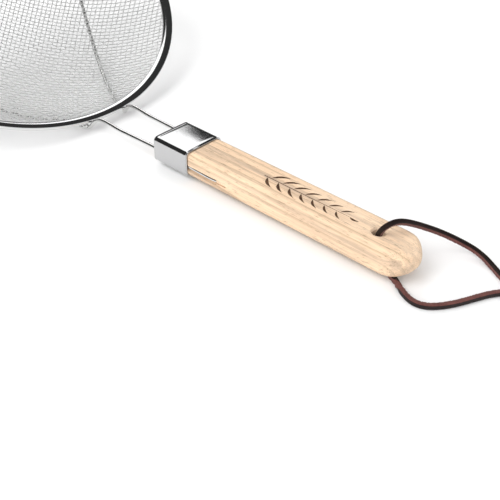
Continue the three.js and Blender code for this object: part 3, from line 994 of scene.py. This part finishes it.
def lace_section(dark_sides):
    """A square strip with soft corners, and which of its facets are the smooth dark face."""
    half = LACE_WIDTH / 2
    section, dark = [], []
    for quarter in range(4):
        cos, sin = (1, 0, -1, 0)[quarter], (0, 1, 0, -1)[quarter]
        for share in (-1 + LACE_CORNER, -0.3, 0.3, 1 - LACE_CORNER):
            x, y = half, half * share
            section.append((x * cos - y * sin, x * sin + y * cos))
            dark.append(quarter in dark_sides)
    return section, dark


def lace_mesh(name, path, dark_sides, seed, twists=None):
    """A strip along the path with smooth dark sides and slightly ragged cut ones."""
    rng = np.random.default_rng(seed)
    section, dark = lace_section(dark_sides)
    vertices, faces = sweep(path, section, twists=twists)
    count = len(section)
    for i in range(len(path)):
        for k in range(count):
            if not dark[k]:
                out = vertices[i * count + k] - path[i]
                out.normalize()
                vertices[i * count + k] += out * float(rng.normal(0, LACE_RAGGED))
    obj = add_mesh(name, vertices, faces)
    face_out(obj)
    set_material(obj, LEATHER_FACE, LEATHER_EDGE)
    for n, polygon in enumerate(obj.data.polygons):
        polygon.material_index = 0 if dark[n % count] else 1
    return obj


def even_path(points, step):
    """Points at even steps along the smooth curve through the given ones."""
    fine = smooth_path(points, 24)
    travelled = np.concatenate(
        ([0.0], np.cumsum([(b - a).length for a, b in zip(fine, fine[1:])]))
    )
    wanted = np.linspace(0, travelled[-1], int(travelled[-1] / step) + 1)
    columns = [np.interp(wanted, travelled, [p[k] for p in fine]) for k in range(3)]
    return [Vector(p) for p in zip(*columns)], float(travelled[-1])


def lace_points(points):
    return [Vector((HOLE.x, 0, 0)) + Vector(p) * MM for p in points]


def half_turn(count, length, start, end):
    """Twist of each ring, from the knot back to the hole, for a strip that turns over once."""
    twists = []
    for i in range(count):
        from_hole = length * (1 - i / (count - 1))
        share = min(max((end - from_hole) / (end - start), 0), 1)
        twists.append(math.pi * share * share * (3 - 2 * share))
    return twists


def strand(name, points, node, dark_sides, seed, turn=None):
    path, length = even_path(lace_points(points), LACE_STEP)
    twists = half_turn(len(path), length, *turn) if turn else None
    obj = lace_mesh(name, path[::-1], dark_sides, seed, twists)
    finish_piece(obj, "lace_leather", node)


def knot():
    """Both ends tied together in one overhand knot with two short tails."""
    centre = Vector((HOLE.x, 0, 0)) + Vector(KNOT_PLACE) * MM
    aim = math.radians(sum(TAIL_ANGLES) / 2)
    axis = Vector((math.cos(aim), math.sin(aim), 0))
    side = Vector((-axis.y, axis.x, 0))
    parts = []
    wrap = []
    for k in range(KNOT_STEPS + 1):
        share = k / KNOT_STEPS
        angle = 2 * math.pi * KNOT_TURNS * share + KNOT_START
        tucked = max(0, abs(share - 0.5) * 2 - 0.8) / 0.2
        radius = (KNOT_RADIUS - KNOT_TUCK * tucked) * MM
        wrap.append(
            centre + axis * (share - 0.5) * KNOT_LENGTH
            + side * radius * math.cos(angle)
            + Vector((0, 0, 1)) * radius * KNOT_FLATNESS * math.sin(angle)
        )
    parts.append(lace_mesh("lace_knot_wrap", wrap, (0,), 21))
    for n, angle in enumerate(TAIL_ANGLES):
        turn = math.radians(angle)
        out = Vector((math.cos(turn), math.sin(turn), 0))
        points = [
            centre - axis * TAIL_BACK + side * (0.8 - 1.6 * n) * MM,
            centre + Vector((0, 0, -0.2 * MM)),
            centre + out * TAIL_LENGTH * 0.45 + Vector((0, 0, -0.6 * MM)),
            centre + out * TAIL_LENGTH * 0.96 + Vector((0, 0, -1.2 * MM)),
        ]
        path, _ = even_path(points, LACE_STEP)
        parts.append(lace_mesh(f"lace_tail_{n}", path, (1,), 30 + n))
    for obj in parts:
        finish_piece(obj, "lace_leather", "lace_knot")
    return parts


knot_pieces = knot()
strand("lace_upper", UPPER_STRAND, "lace_strand_upper", (0, 1), 11)
strand("lace_lower", LOWER_STRAND, "lace_strand_lower", (2, 3), 12, LOWER_TURN)


# ---- room ----
FLOOR_RADIUS = 5
FLOOR_SIDES = 96
COVE_RADIUS = 1
WALL_HEIGHT = 4
WALL_LIFT = 1 * MM
WINDOW_STRENGTH = 1.9
SIDE_STRENGTH = 0.95
ROOM_STRENGTH = 0.04


def add_floor():
    """A round white table top, and round it a pale wall that only the camera sees."""
    around = [(x, y, 0) for x, y in circle(FLOOR_RADIUS, FLOOR_SIDES)]
    floor = add_mesh("table", around, [tuple(range(FLOOR_SIDES))], smooth=False)
    profile = [(FLOOR_RADIUS - COVE_RADIUS + COVE_RADIUS * math.sin(t),
                COVE_RADIUS - COVE_RADIUS * math.cos(t))
               for t in (math.pi / 2 * k / 12 for k in range(13))]
    profile.append((FLOOR_RADIUS, WALL_HEIGHT))
    rings = []
    for radius, height in profile:
        rings.append([(x, y, height + WALL_LIFT) for x, y in circle(radius, FLOOR_SIDES)])
    vertices, faces = stacked(rings)
    wall = add_mesh("backdrop", vertices, faces[:-2])
    wall.visible_glossy = False
    wall.visible_shadow = False
    wall.visible_diffuse = False
    material, tree, shader = new_material("table_white")
    cloud = noise(tree, stretched(tree, (1, 1, 1)), 3.0, 3.0, 0.5)
    tone = mix_colour(tree, cloud, (0.90, 0.90, 0.90, 1), (0.92, 0.92, 0.92, 1))
    tree.links.new(tone, shader.inputs["Base Color"])
    shader.inputs["Roughness"].default_value = 0.7
    set_material(floor, material)
    set_material(wall, material)


def add_sun(name, towards, strength, angle):
    data = bpy.data.lights.new(name, "SUN")
    data.energy = strength
    data.angle = math.radians(angle)
    light = bpy.data.objects.new(name, data)
    light.rotation_euler = Vector(towards).to_track_quat("-Z", "Y").to_euler()
    light.visible_glossy = False
    bpy.context.collection.objects.link(light)


def add_world():
    """A dark studio with a broad soft window high on the left and a paler one on the right."""
    world = bpy.data.worlds.new("studio")
    bpy.context.scene.world = world
    world.use_nodes = True
    tree = world.node_tree
    direction = add_node(tree, "ShaderNodeTexCoord").outputs["Generated"]

    def along(axis):
        return add_node(tree, "ShaderNodeVectorMath", {0: direction, 1: axis},
                        operation="DOT_PRODUCT").outputs["Value"]

    def mask(value, low, high):
        return add_node(tree, "ShaderNodeMapRange", {0: value, 1: low, 2: high},
                        interpolation_type="SMOOTHSTEP").outputs[0]

    left = mask(along(Vector((1, 0, 0))), -0.36, -0.46)
    back = mask(along(Vector((0, 1, 0))), 0.08, 0.18)
    above = mask(along(Vector((-0.30, -0.45, 0.84))), 0.312, 0.324)
    right = mask(along(Vector((1, 0, 0))), 0.62, 0.72)
    window = math_node(tree, "MULTIPLY", math_node(tree, "MULTIPLY", left, back), above)
    both = math_node(tree, "ADD", math_node(tree, "MULTIPLY", window, WINDOW_STRENGTH),
                     math_node(tree, "MULTIPLY", right, SIDE_STRENGTH))
    total = math_node(tree, "ADD", both, ROOM_STRENGTH)
    tree.links.new(total, tree.nodes["Background"].inputs[1])
    tree.nodes["Background"].inputs[0].default_value = (1, 1, 1, 1)


add_floor()
add_world()
add_sun("key", (0.42, 0.70, -1.0), 1.35, 40)
add_sun("front_fill", (-0.32, 0.86, -0.38), 1.6, 70)
add_sun("overhead", (0.05, 0.1, -1.0), 1.55, 150)
bpy.context.scene.view_settings.view_transform = "Standard"
